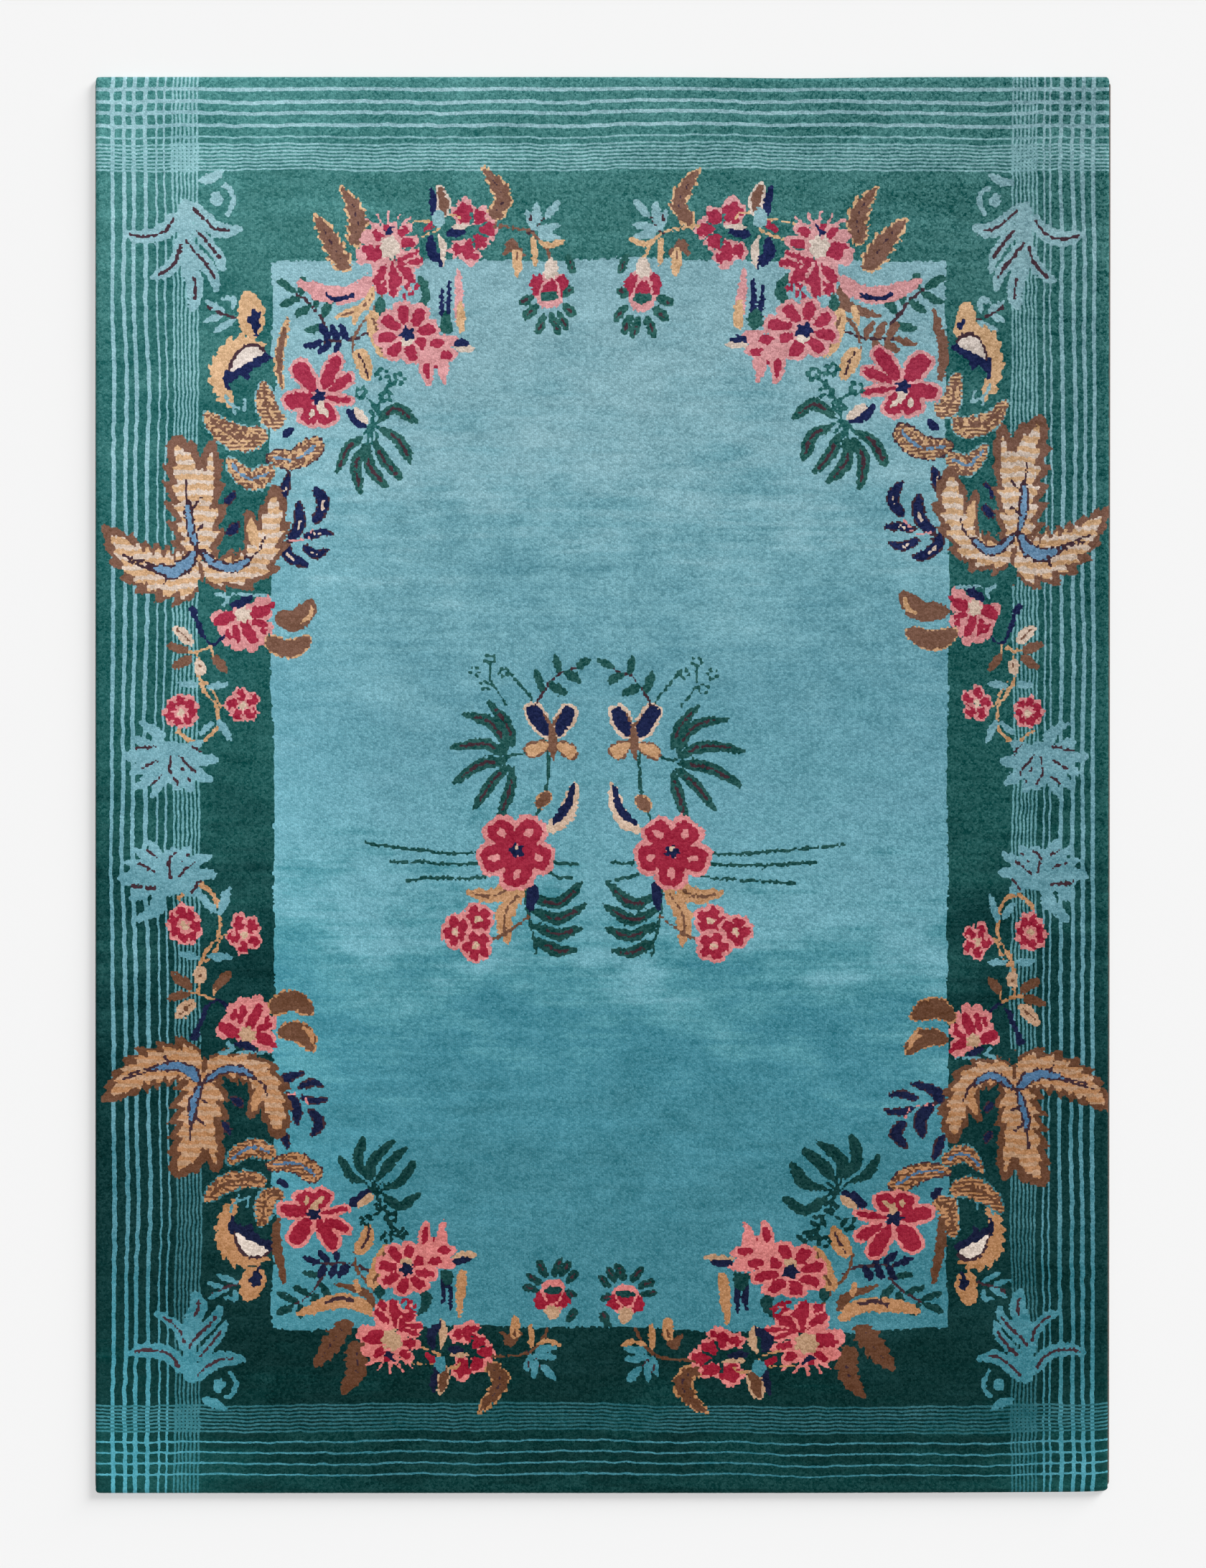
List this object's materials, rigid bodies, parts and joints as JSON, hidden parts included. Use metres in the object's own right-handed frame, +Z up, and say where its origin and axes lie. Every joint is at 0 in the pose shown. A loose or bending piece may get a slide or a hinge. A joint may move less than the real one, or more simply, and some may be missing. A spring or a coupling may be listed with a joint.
{
  "type": "pile rug",
  "caption": "Large rectangular hand-knotted wool pile rug with a slightly uneven outline and an overcast cord binding along each long side, laid flat",
  "frame": {"origin": "on the floor, under the middle of the rug", "axes": "+Z up, +Y along the length towards the end that is at the top of the picture, +X across the width"},
  "size_m": [2, 2.7892, 0.0139],
  "materials": {
    "wool_pile": "short cut wool pile, pale slate blue with a floral border in crimson, pink, ice blue, tan, brown and navy on deep green",
    "binding_wool": "dark grey-brown wool yarn wrapped over a cord"
  },
  "bodies": {
    "root": {"rug_body": "wool_pile", "side_binding_left": "binding_wool", "side_binding_right": "binding_wool"}
  },
  "joints": []
}
